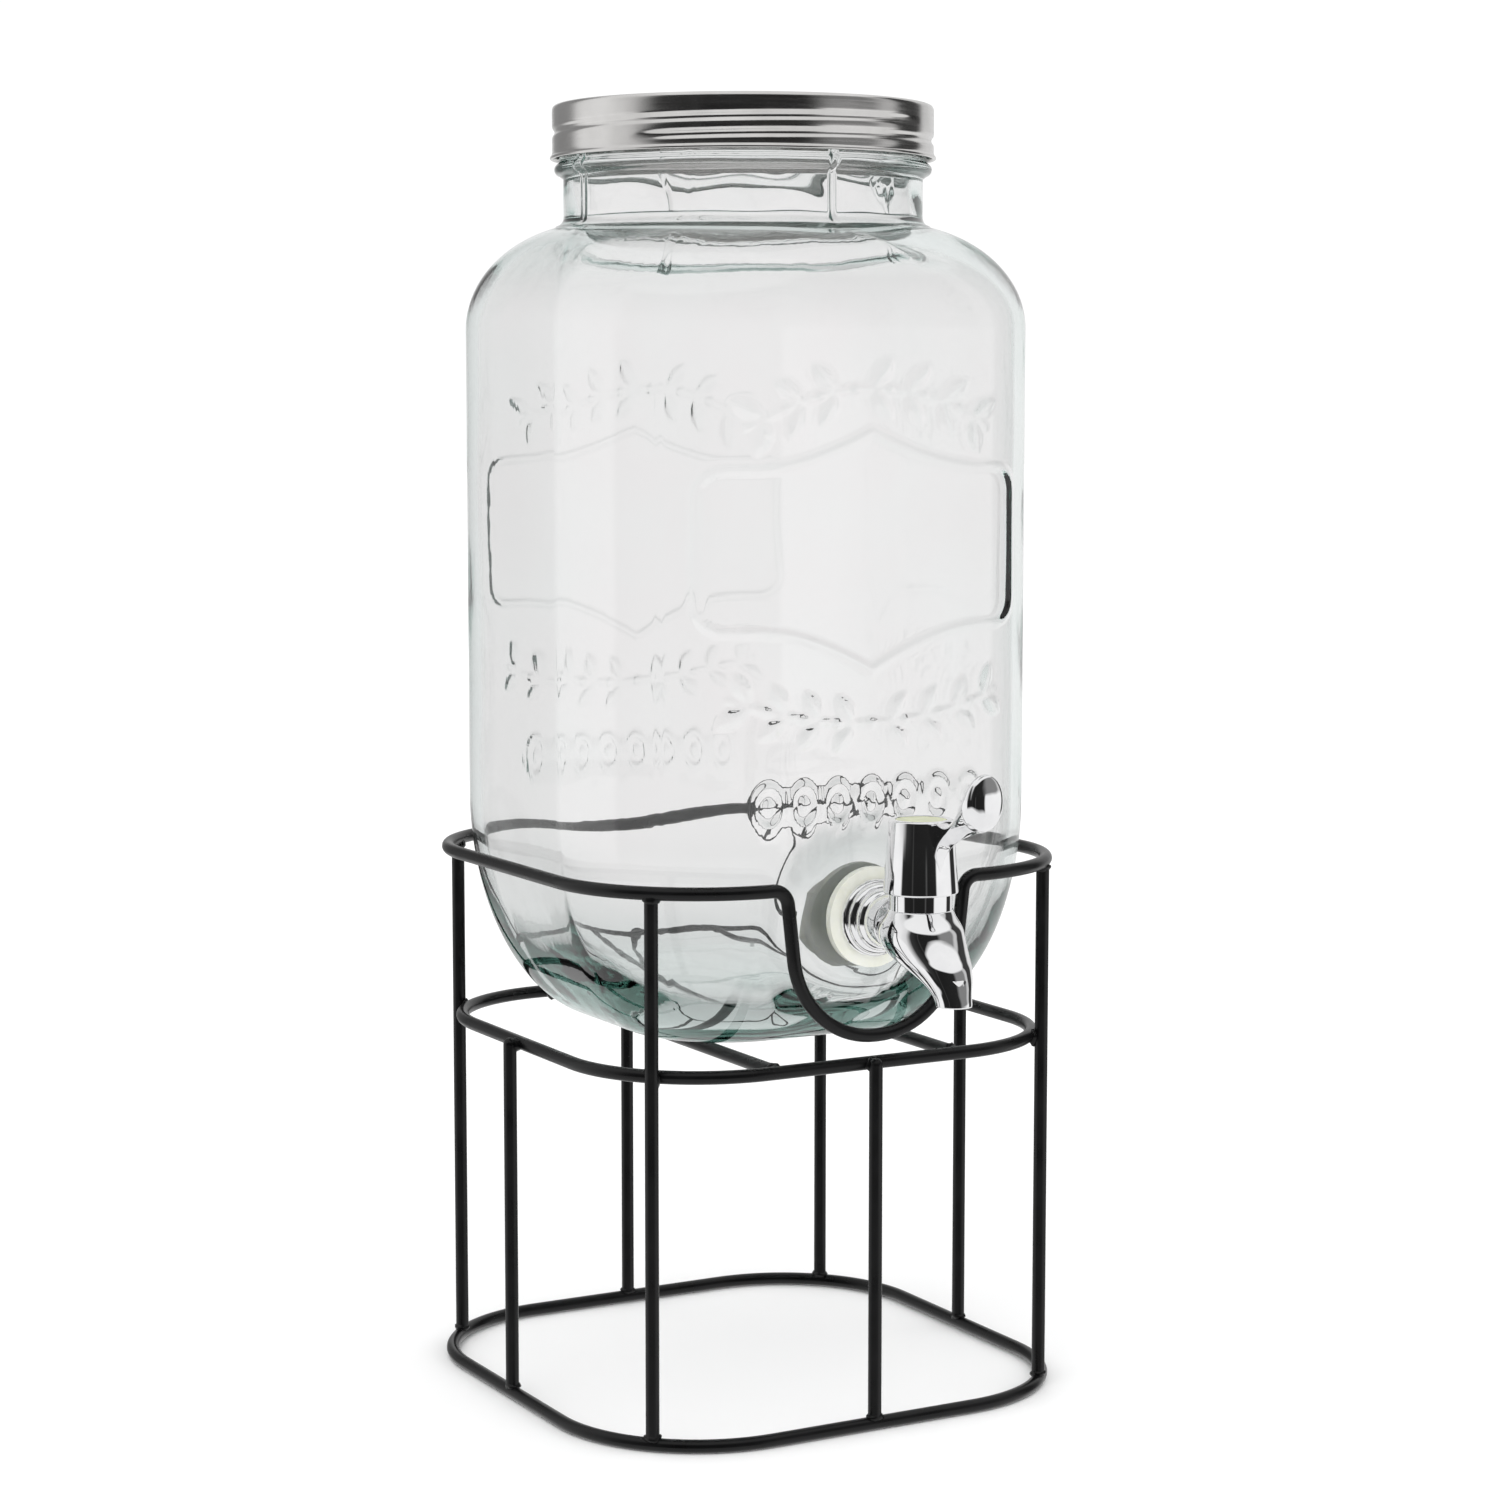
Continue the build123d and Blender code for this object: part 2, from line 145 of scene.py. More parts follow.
def skin(name, rows, start, end):
    """A closed tube through rows of points; start and end are the points that its ends close on."""
    rows = np.asarray(rows)
    count, around = rows.shape[:2]
    verts = rows.reshape(-1, 3).tolist() + [list(start), list(end)]
    faces = skin_faces(count, around)
    faces += fan_faces(0, around, count * around, True)
    faces += fan_faces((count - 1) * around, around, count * around + 1, False)
    return make_object(name, verts, faces)


def rounded(points, radius, steps=5):
    """A polyline with each inner corner replaced by a small arc-like curve of about that radius."""
    points = [np.array(point, float) for point in points]
    line = [points[0]]
    for before, corner, after in zip(points, points[1:], points[2:]):
        back = before - corner
        forth = after - corner
        reach = min(radius, 0.45 * np.linalg.norm(back), 0.45 * np.linalg.norm(forth))
        first = corner + back / np.linalg.norm(back) * reach
        last = corner + forth / np.linalg.norm(forth) * reach
        for share in np.linspace(0, 1, steps + 1):
            line.append((1 - share) ** 2 * first + 2 * share * (1 - share) * corner + share ** 2 * last)
    line.append(points[-1])
    return line


def turned(name, outline, place, axis="Z", around=96):
    """A body of revolution: outline holds (radius, height) pairs, height along axis from place."""
    angles = np.linspace(0, 2 * pi, around, endpoint=False)
    rows = []
    x, y, z = place
    for radius, height in outline:
        if axis == "Z":
            row = [(x + radius * cos(a), y + radius * sin(a), z + height) for a in angles]
        else:
            row = [(x + radius * cos(a), y + height, z - radius * sin(a)) for a in angles]
        rows.append(row)
    along = np.array((0, 0, 1.0)) if axis == "Z" else np.array((0, 1.0, 0))
    start = np.array(place) + along * outline[0][1]
    end = np.array(place) + along * outline[-1][1]
    return skin(name, rows, start, end)


def join(name, pieces):
    """One object from several, keeping each one's faces."""
    verts = []
    faces = []
    for piece in pieces:
        offset = len(verts)
        verts += [tuple(piece.matrix_world @ vert.co / MM) for vert in piece.data.vertices]
        faces += [tuple(offset + index for index in face.vertices) for face in piece.data.polygons]
        bpy.data.objects.remove(piece)
    return make_object(name, verts, faces)


def smooth_curve(places, values, samples):
    """Monotone-looking cubic through a few given values."""
    places = np.asarray(places, float)
    values = np.asarray(values, float)
    slopes = np.gradient(values, places)
    index = np.clip(np.searchsorted(places, samples) - 1, 0, len(places) - 2)
    gap = places[index + 1] - places[index]
    share = (samples - places[index]) / gap
    return ((2 * share ** 3 - 3 * share ** 2 + 1) * values[index]
            + (share ** 3 - 2 * share ** 2 + share) * gap * slopes[index]
            + (3 * share ** 2 - 2 * share ** 3) * values[index + 1]
            + (share ** 3 - share ** 2) * gap * slopes[index + 1])


def smoothstep(low, high, value):
    share = np.clip((value - low) / (high - low), 0, 1)
    return share * share * (3 - 2 * share)


# ---------------------------------------------------------------- material helpers
class Nodes:
    """A node material under construction, round one Principled shader."""

    def __init__(self, name, **sockets):
        self.material = bpy.data.materials.new(name)
        self.material.use_nodes = True
        self.tree = self.material.node_tree
        self.shader = self.tree.nodes["Principled BSDF"]
        for socket, value in sockets.items():
            self.shader.inputs[socket.replace("_", " ")].default_value = value

    def add(self, kind, **settings):
        node = self.tree.nodes.new(kind)
        for key, value in settings.items():
            if key in node.inputs:
                node.inputs[key].default_value = value
            else:
                setattr(node, key, value)
        return node

    def link(self, start, end):
        self.tree.links.new(start, end)

    def noise(self, scale, detail=3.0, roughness=0.5, stretch=(1, 1, 1)):
        """Noise in object space; scale is in bumps per metre."""
        place = self.add("ShaderNodeTexCoord")
        mapping = self.add("ShaderNodeMapping")
        mapping.inputs["Scale"].default_value = stretch
        noise = self.add("ShaderNodeTexNoise")
        noise.inputs["Scale"].default_value = scale
        noise.inputs["Detail"].default_value = detail
        noise.inputs["Roughness"].default_value = roughness
        self.link(place.outputs["Object"], mapping.inputs["Vector"])
        self.link(mapping.outputs["Vector"], noise.inputs["Vector"])
        return noise.outputs["Fac"]

    def spread(self, value, low, high, start=0.3, stop=0.7):
        """Maps a noise onto a range of values."""
        node = self.add("ShaderNodeMapRange")
        node.inputs["From Min"].default_value = start
        node.inputs["From Max"].default_value = stop
        node.inputs["To Min"].default_value = low
        node.inputs["To Max"].default_value = high
        self.link(value, node.inputs["Value"])
        return node.outputs["Result"]

    def colours(self, value, first, second, start=0.35, stop=0.65):
        ramp = self.add("ShaderNodeValToRGB")
        ramp.color_ramp.elements[0].position = start
        ramp.color_ramp.elements[1].position = stop
        ramp.color_ramp.elements[0].color = (*first, 1)
        ramp.color_ramp.elements[1].color = (*second, 1)
        self.link(value, ramp.inputs["Fac"])
        self.link(ramp.outputs["Color"], self.shader.inputs["Base Color"])

    def rough(self, value):
        self.link(value, self.shader.inputs["Roughness"])

    def bump(self, *layers):
        """Each layer is (height socket, strength, distance in millimetres)."""
        normal = None
        for height, strength, distance in layers:
            node = self.add("ShaderNodeBump")
            node.inputs["Strength"].default_value = strength
            node.inputs["Distance"].default_value = distance * MM
            self.link(height, node.inputs["Height"])
            if normal is not None:
                self.link(normal, node.inputs["Normal"])
            normal = node.outputs["Normal"]
        self.link(normal, self.shader.inputs["Normal"])


def powder_coat():
    made = Nodes("black_powder_coat", Metallic=0.0)
    made.shader.inputs["Specular IOR Level"].default_value = 0.26
    patches = made.noise(60, 4)
    grain = made.noise(1500, 2)
    made.colours(patches, (0.0022, 0.0022, 0.0024), (0.005, 0.005, 0.0054))
    made.rough(made.spread(patches, 0.24, 0.36))
    made.bump((grain, 0.18, 0.08), (patches, 0.25, 0.15))
    return made.material


def recycled_glass():
    made = Nodes("recycled_glass", Roughness=0.0, IOR=1.5)
    made.shader.inputs["Base Color"].default_value = (1, 1, 1, 1)
    made.shader.inputs["Transmission Weight"].default_value = 1.0
    slow = made.noise(22, 2)
    seeds = made.noise(330, 1, 0.4)
    streaks = made.noise(60, 3, 0.55, (1.0, 1.0, 0.35))
    made.colours(slow, (1.0, 0.970, 0.976), (1.0, 0.980, 0.984))
    made.bump((streaks, 0.16, 0.35), (seeds, 0.04, 0.06))
    absorb = made.add("ShaderNodeVolumeAbsorption")
    absorb.inputs["Color"].default_value = (0.533, 0.683, 0.65, 1)
    absorb.inputs["Density"].default_value = 30.0
    made.link(absorb.outputs["Volume"], made.tree.nodes["Material Output"].inputs["Volume"])
    return made.material


def chrome():
    made = Nodes("chrome_plate", Metallic=1.0)
    cloud = made.noise(90, 3)
    fine = made.noise(2500, 2)
    made.colours(cloud, (0.83, 0.83, 0.84), (0.90, 0.90, 0.905))
    made.rough(made.spread(cloud, 0.015, 0.045))
    made.bump((cloud, 0.05, 0.06), (fine, 0.015, 0.01))
    return made.material


def tinplate():
    made = Nodes("tinplate", Metallic=1.0)
    spangle = made.noise(45, 4)
    brushed = made.noise(160, 3, 0.6, (0.25, 0.25, 12.0))
    made.colours(spangle, (0.60, 0.59, 0.58), (0.70, 0.69, 0.68))
    made.rough(made.spread(brushed, 0.13, 0.24))
    made.bump((brushed, 0.12, 0.03), (spangle, 0.10, 0.10))
    return made.material


def plain(name, low, high, rough_low, rough_high, metallic=0.0, subsurface=0.0):
    """Moulded or turned small parts: slight colour drift and a fine surface."""
    made = Nodes(name, Metallic=metallic)
    made.shader.inputs["Subsurface Weight"].default_value = subsurface
    made.shader.inputs["Subsurface Radius"].default_value = (0.004, 0.004, 0.003)
    cloud = made.noise(120, 3)
    grain = made.noise(1800, 2)
    made.colours(cloud, low, high)
    made.rough(made.spread(cloud, rough_low, rough_high))
    made.bump((grain, 0.08, 0.04))
    return made.material


# the small parts: two colours, least and greatest roughness, metal, and light that goes under the surface
MOULDED = {
    "clear_silicone": ((0.84, 0.85, 0.76), (0.92, 0.93, 0.85), 0.3, 0.45, 0.0, 0.3),
    "white_seal": ((0.86, 0.86, 0.79), (0.93, 0.93, 0.88), 0.35, 0.5, 0.0, 0.2),
    "white_plastic": ((0.84, 0.84, 0.78), (0.92, 0.92, 0.87), 0.3, 0.42, 0.0, 0.2),
    "natural_plastic": ((0.74, 0.73, 0.68), (0.82, 0.81, 0.76), 0.3, 0.45, 0.0, 0.2),
    "black_rubber": ((0.015, 0.015, 0.015), (0.03, 0.03, 0.03), 0.45, 0.6),
    "spring_steel": ((0.5, 0.5, 0.51), (0.6, 0.6, 0.61), 0.2, 0.35, 1.0),
    "zinc_steel": ((0.55, 0.55, 0.56), (0.68, 0.68, 0.70), 0.22, 0.36, 1.0),
    "pale_green_plastic": ((0.52, 0.56, 0.27), (0.62, 0.66, 0.36), 0.14, 0.24),
    "liner_rubber": ((0.66, 0.65, 0.60), (0.76, 0.75, 0.70), 0.4, 0.55),
}
MATERIALS = {
    "black_powder_coat": powder_coat(),
    "recycled_glass": recycled_glass(),
    "chrome_plate": chrome(),
    "tinplate": tinplate(),
}
MATERIALS.update({name: plain(name, *looks) for name, looks in MOULDED.items()})


def dress(piece, slot, body=None, replaced=()):
    piece.data.materials.clear()
    piece.data.materials.append(MATERIALS[slot])
    if body:
        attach(piece, body)
    if replaced:
        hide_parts(*replaced)
    return piece


# ---------------------------------------------------------------- glass jar
FLAT_STEPS = (54, 12, 54, 12)   # columns on the back, left, front and right flats
CORNER_STEPS = 84


def column_frame():
    """For each column: the corner or flat that it is on, and how far along."""
    columns = []
    for quarter in range(4):
        start = quarter * 90
        for step in range(CORNER_STEPS):
            columns.append(("corner", quarter, radians(start + 90 * step / CORNER_STEPS)))
        for step in range(FLAT_STEPS[quarter]):
            columns.append(("flat", quarter, step / FLAT_STEPS[quarter]))
    return columns


SIGNS = ((1, 1), (-1, 1), (-1, -1), (1, -1))


def column_tables():
    """Per column: sign pair of its centre, outward normal and share of the straight side."""
    centre = []
    normal = []
    for kind, quarter, value in column_frame():
        here = SIGNS[quarter]
        after = SIGNS[(quarter + 1) % 4]
        if kind == "corner":
            centre.append(here)
            normal.append((cos(value), sin(value)))
        else:
            angle = radians(90 * (quarter + 1))
            centre.append(tuple(a + (b - a) * value for a, b in zip(here, after)))
            normal.append((cos(angle), sin(angle)))
    return np.array(centre, float), np.array(normal, float)


COLUMN_CENTRE, COLUMN_NORMAL = column_tables()


def outer_stations():
    """(height, straight half length, half width across the camera's line) from the underside to the rim."""
    foot_half = BODY_HALF - BOWL_INSET
    stations = [(seat_z, FOOT_STRAIGHT * share, foot_half * share) for share in (0.3, 0.55, 0.78, 0.92)]
    for angle in np.linspace(90, 0, 40):
        share = 1 - cos(radians(angle))
        straight = STRAIGHT - (STRAIGHT - FOOT_STRAIGHT) * share
        stations.append((bowl_top_z - BOWL_DEPTH * sin(radians(angle)), straight,
                         BODY_HALF - BOWL_INSET * share))
    for height in np.linspace(0, BODY_HEIGHT, 168)[1:-1]:
        stations.append((bowl_top_z + height, STRAIGHT, BODY_HALF))
    last_share = (BODY_HALF - NECK_R - COVE_R) / SHOULDER_INSET
    last_angle = np.degrees(np.arccos(1 - last_share))
    for angle in np.linspace(0, last_angle, 30):
        share = 1 - cos(radians(angle))
        stations.append((shoulder_z + SHOULDER_RISE * sin(radians(angle)),
                         STRAIGHT * (1 - share / last_share), BODY_HALF - SHOULDER_INSET * share))
    cove_z = stations[-1][0]
    for angle in np.linspace(12, 90, 8):
        stations.append((cove_z + 0.6 + COVE_R * (1 - cos(radians(angle))), 0.0,
                         NECK_R + COVE_R * (1 - sin(radians(angle)))))
    for height in np.linspace(cove_z + 5.2, bead_z - BEAD_HALF - 1.2, 10):
        stations.append((height, 0.0, NECK_R))
    for angle in np.linspace(-78, 62, 12):
        stations.append((bead_z + BEAD_HALF * sin(radians(angle)), 0.0,
                         BEAD_R - BEAD_HALF + BEAD_HALF * cos(radians(angle))))
    for height in np.linspace(bead_z + BEAD_HALF + 0.4, mouth_z - 1.6, 26):
        stations.append((height, 0.0, FINISH_R))
    for angle in np.linspace(15, 90, 5):
        stations.append((mouth_z - RIM_R * (1 - sin(radians(angle))), 0.0,
                         FINISH_R - RIM_R * (1 - cos(radians(angle)))))
    return stations


def inner_stations():
    """The same for the inside, from the rim down to the floor."""
    bore_r = NECK_R - WALL
    inner_half = BODY_HALF - WALL
    stations = []
    for angle in np.linspace(90, 15, 5):
        stations.append((mouth_z - RIM_R * (1 - sin(radians(angle))), 0.0,
                         bore_r + RIM_R * (1 - cos(radians(angle)))))
    inner_rise = SHOULDER_RISE - WALL
    last_share = (inner_half - bore_r - 2.0) / SHOULDER_INSET
    last_angle = np.degrees(np.arccos(1 - last_share))
    low_z = shoulder_z + inner_rise * sin(radians(last_angle))
    for height in np.linspace(mouth_z - 2.2, low_z + 4.5, 20):
        stations.append((height, 0.0, bore_r))
    for share in (0.25, 0.5, 0.75):
        stations.append((low_z + 4.5 - 4.2 * share, 0.0, bore_r + 2.0 * share ** 2.2))
    for angle in np.linspace(last_angle, 0, 26):
        share = 1 - cos(radians(angle))
        stations.append((shoulder_z + inner_rise * sin(radians(angle)), STRAIGHT * (1 - share / last_share),
                         inner_half - SHOULDER_INSET * share))
    for height in np.linspace(BODY_HEIGHT, 0, 44)[1:-1]:
        stations.append((bowl_top_z + height, STRAIGHT, inner_half))
    for angle in np.linspace(0, 90, 44):
        share = 1 - cos(radians(angle))
        straight = STRAIGHT - (STRAIGHT - FOOT_STRAIGHT) * share
        stations.append((bowl_top_z - (BOWL_DEPTH - FLOOR) * sin(radians(angle)), straight,
                         inner_half - BOWL_INSET * share))
    floor_half = inner_half - BOWL_INSET
    for share in (0.93, 0.82, 0.68, 0.5, 0.3):
        height = seat_z + FLOOR + FLOOR_CROWN * (1 - share)
        stations.append((height, FOOT_STRAIGHT * share, floor_half * share))
    return stations


def station_rows(stations):
    """Points of each station, one for each column."""
    rows = []
    for height, straight, half in stations:
        corner_r = half - OBLIQUE * straight
        flat = COLUMN_CENTRE * straight + COLUMN_NORMAL * corner_r
        rows.append(np.column_stack((flat, np.full(len(flat), height))))
    return np.array(rows)


# flat boss round the tap's hole, and the pad behind it
BOSS_R = 20.5
BOSS_REACH = 34.0
BOSS_BLEND = 2.5
PAD_R = 19.6
PAD_REACH = 42.0
PAD_GAP = 0.25

# pressed ornament, in the face's own plane: across and height, in millimetres
PANEL_HALF = 66.0
PANEL_TOP = 352.5
PANEL_FOOT = 295.0
PANEL_PEAK = 13.0
PANEL_DIP = 15.0
PANEL_ROUND = 9.0
RIDGE_HEIGHT = 1.15
RIDGE_WIDTH = 1.45
ORNAMENT_HEIGHT = 1.55
ORNAMENT_LOW = 222.0            # the ornament lies between these heights
ORNAMENT_HIGH = 392.0
ORNAMENT_HALF = 76.0


def panel_outline():
    """Cartouche: straight sides, rounded corners, and a tented peak in its top and bottom edges."""
    across = np.linspace(PANEL_ROUND - PANEL_HALF, PANEL_HALF - PANEL_ROUND, 61)
    tent = np.clip(1 - np.abs(across) / 46.0, 0, 1) ** 1.7
    upper = np.column_stack((across, PANEL_TOP + PANEL_PEAK * tent))
    lower = np.column_stack((across[::-1], PANEL_FOOT - PANEL_DIP * tent[::-1]))

    def corner(centre_x, centre_z, start):
        angles = np.radians(np.linspace(start, start - 90, 9))
        return np.column_stack((centre_x + PANEL_ROUND * np.cos(angles),
                                centre_z + PANEL_ROUND * np.sin(angles)))

    side = PANEL_HALF - PANEL_ROUND
    high = PANEL_TOP - PANEL_ROUND
    low = PANEL_FOOT + PANEL_ROUND
    return np.vstack((upper, corner(side, high, 90), corner(side, low, 0), lower,
                      corner(-side, low, 270), corner(-side, high, 180)))


def distance_to_line(points, line, closed=True):
    ends = np.roll(line, -1, axis=0) if closed else line[1:]
    starts = line if closed else line[:-1]
    nearest = np.full(len(points), 1e9)
    for start, end in zip(starts, ends):
        along = end - start
        share = np.clip(((points - start) @ along) / (along @ along + 1e-12), 0, 1)
        nearest = np.minimum(nearest, np.linalg.norm(points - start - share[:, None] * along, axis=1))
    return nearest


def leaf(points, centre, angle, half_length, half_width):
    """A pointed leaf with a ridge along its middle."""
    shift = points - np.array(centre)
    along = shift[:, 0] * cos(angle) + shift[:, 1] * sin(angle)
    aside = -shift[:, 0] * sin(angle) + shift[:, 1] * cos(angle)
    body = 1 - (along / half_length) ** 2 - np.abs(aside) / half_width
    return np.clip(body, 0, None) ** 0.7


def bead(points, centre, radius):
    reach = np.linalg.norm(points - np.array(centre), axis=1) / radius
    return np.sqrt(np.clip(1 - reach ** 2, 0, None))


def garland(points, middle_z, sagitta, half_span, pairs, leaf_length):
    """A bent stem with leaves in pairs and a berry between each two pairs."""
    height = np.zeros(len(points))
    across = np.linspace(-half_span, half_span, 41)
    stem_z = middle_z + sagitta * (1 - (across / half_span) ** 2)
    stem = np.column_stack((across, stem_z))
    height = np.maximum(height, 0.55 * np.exp(-(distance_to_line(points, stem, False) / 1.0) ** 2))
    for number in range(pairs):
        share = (number + 0.5) / pairs * 2 - 1
        place_x = share * half_span
        place_z = middle_z + sagitta * (1 - share ** 2)
        slope = -2 * sagitta * share / half_span
        lean = np.arctan(slope)
        outward = -1 if share < 0 else 1
        for side in (-1, 1):
            angle = lean + side * radians(52) if outward > 0 else lean + pi - side * radians(52)
            centre = (place_x + cos(angle) * leaf_length * 0.55, place_z + sin(angle) * leaf_length * 0.55)
            height = np.maximum(height, leaf(points, centre, angle, leaf_length * 0.56, 3.6))
        next_share = (number + 1) / pairs * 2 - 1
        berry = (next_share * half_span, middle_z + sagitta * (1 - next_share ** 2))
        if number < pairs - 1:
            height = np.maximum(height, 0.9 * bead(points, berry, 1.9))
    return height


def egg_and_dart(points, middle_z, half_span, count):
    """Upright ovals in a row, each inside an open oval ring, with a narrow leaf between each two."""
    height = np.zeros(len(points))
    for number in range(count):
        place_x = -half_span + 2 * half_span * number / (count - 1)
        shift = (points - np.array((place_x, middle_z))) / np.array((1.0, 1.55))
        reach = np.linalg.norm(shift, axis=1)
        if number % 2:
            height = np.maximum(height, leaf(points, (place_x, middle_z), pi / 2, 7.5, 2.2))
        else:
            height = np.maximum(height, np.exp(-((reach - 4.7) / 0.95) ** 2))
            height = np.maximum(height, 0.9 * np.sqrt(np.clip(1 - (reach / 2.2) ** 2, 0, None)))
    return height


def relief(across, height):
    """Height of the pressed ornament at points of the front or back face."""
    points = np.column_stack((across, height))
    ridge = np.exp(-(distance_to_line(points, panel_outline()) / RIDGE_WIDTH) ** 2)
    ornament = garland(points, 367.0, 14.0, 50.0, 7, 13.0)
    ornament = np.maximum(ornament, garland(points, 271.0, -10.0, 56.0, 8, 12.0))
    ornament = np.maximum(ornament, 0.8 * egg_and_dart(points, 232.5, 42.0, 13))
    return RIDGE_HEIGHT * ridge + ORNAMENT_HEIGHT * ornament


def ripple(points, size):
    """Slow unevenness of pressed glass, between about -1 and 1; size is its wavelength."""
    x, y, z = points[..., 0] / size, points[..., 1] / size, points[..., 2] / size
    return (np.sin(5.1 * x + 1.3 * z + 0.4) * np.sin(4.3 * z + 0.9 * y) * 0.5
            + np.sin(3.1 * y - 2.2 * z + 1.7) * 0.3 + np.sin(7.7 * z + 2.9 * x - 1.1 * y + 0.6) * 0.2)


def shape_outer(rows):
    """Seams, ornament, thread, tap boss and slight unevenness of the outside."""
    angle = np.degrees(np.arctan2(rows[..., 1], rows[..., 0])) % 360
    height = rows[..., 2]
    lift = 0.12 * ripple(rows, 60.0) * smoothstep(seat_z + 2, seat_z + 20, height)
    lift *= 1 - smoothstep(shoulder_z + 30, bead_z - 10, height)
    neck = smoothstep(shoulder_z + 30, bead_z - 8, height)
    for seam in SEAM_ANGLES:
        off = (np.abs(angle - seam) * pi / 180) * np.hypot(rows[..., 0], rows[..., 1])
        span = smoothstep(seat_z + 4, seat_z + 30, height)
        span = span * (1 - smoothstep(bead_z + 2, bead_z + 4, height))
        lift += (0.08 + 0.28 * neck) * np.exp(-(off / SEAM_WIDTH) ** 2) * span
    for turn in range(3):
        thread_z = bead_z + THREAD_LOW + THREAD_PITCH * (angle / 360 + turn)
        inside = (angle / 360 + turn) <= THREAD_TURNS
        ridge = THREAD_HEIGHT * np.exp(-((height - thread_z) / THREAD_WIDTH) ** 2)
        lift += np.where(inside, ridge, 0) * (height > bead_z + 3)
    ornate = (height > ORNAMENT_LOW) & (height < ORNAMENT_HIGH) & (np.abs(rows[..., 0]) < ORNAMENT_HALF)
    front = ornate & (rows[..., 1] < 0)
    back = ornate & (rows[..., 1] > 0)
    lift[front] += relief(rows[..., 0][front], height[front])
    lift[back] += relief(-rows[..., 0][back], height[back])
    rows[..., :2] += COLUMN_NORMAL[None] * lift[..., None]

    # the boss is a flat disc with a flared edge, blended into the wall
    reach = np.hypot(rows[..., 0], height - tap_z)
    near = (rows[..., 1] < -40) & (reach < BOSS_REACH)
    boss = boss_y + 13.0 * np.clip((reach - BOSS_R) / 14, 0, None) ** 1.5
    share = np.clip(0.5 + 0.5 * (rows[..., 1] - boss) / BOSS_BLEND, 0, 1)
    blend = BOSS_BLEND * share * (1 - share) * smoothstep(PAD_R, 24, reach)
    joined = rows[..., 1] + (boss - rows[..., 1]) * share - blend
    rows[..., 1] = np.where(near, np.maximum(joined, boss_y), rows[..., 1])
    return rows


def shape_inner(rows):
    height = rows[..., 2]
    deep = 1 - smoothstep(seat_z + 10, bowl_top_z + 10, height)
    lift = (0.22 + 0.30 * deep) * ripple(rows, 46.0) + 0.10 * deep * ripple(rows[..., ::-1], 17.0)
    lift *= 1 - smoothstep(shoulder_z + 20, shoulder_z + 34, height)
    neck = smoothstep(shoulder_z + 26, shoulder_z + 36, height) * (1 - smoothstep(bead_z, bead_z + 6, height))
    lift += 0.5 * neck * ripple(rows, 22.0)
    rows[..., :2] += COLUMN_NORMAL[None] * lift[..., None]
    rows[..., 2] += 0.7 * ripple(rows[..., ::-1], 34.0) * (1 - smoothstep(seat_z + 12, seat_z + 34, height))
    reach = np.hypot(rows[..., 0], height - tap_z)
    pad = (rows[..., 1] < -40) * (1 - smoothstep(PAD_R, PAD_REACH, reach))
    rows[..., 1] += pad * (pad_y - PAD_GAP - rows[..., 1])
    return rows


def make_jar():
    outer = shape_outer(station_rows(outer_stations()))
    inner = shape_inner(station_rows(inner_stations()))
    rows = np.concatenate((outer, inner))
    start = (0, 0, rows[0][0][2])
    end = (0, 0, rows[-1][..., 2].mean() + 0.4)
    jar = skin("glass_jar", rows, start, end)
    dress(jar, "recycled_glass", "jar", ("jar_bowl", "jar_wall", "jar_shoulder", "jar_neck"))


# ---------------------------------------------------------------- lid
LID_OUTER_R = 72.2
LID_RIM_R = 62.2                # inner foot of the raised rim
LID_PANEL_R = 60.0
LID_PANEL_DROP = 1.0
LID_PLATE = 0.6
LID_HEM_R = 0.75
GROOVE_START = 205.5
GROOVE_END = 666.7
GROOVE_DEPTH = 0.95
GROOVE_HALF = 1.35


def lid_groove(angle, height):
    """Depth of the rolled thread at an angle and height of the skirt."""
    depth = np.zeros_like(height)
    low = bead_z + THREAD_LOW - THREAD_PITCH / 2
    for turn in range(2):
        total = angle + 360 * turn
        middle = low + THREAD_PITCH * total / 360
        fade = smoothstep(GROOVE_START, GROOVE_START + 16, total)
        fade = fade * (1 - smoothstep(GROOVE_END - 14, GROOVE_END, total))
        groove = np.exp(-np.abs((height - middle) / GROOVE_HALF) ** 2.6)
        depth = np.maximum(depth, fade * GROOVE_DEPTH * groove)
    return depth


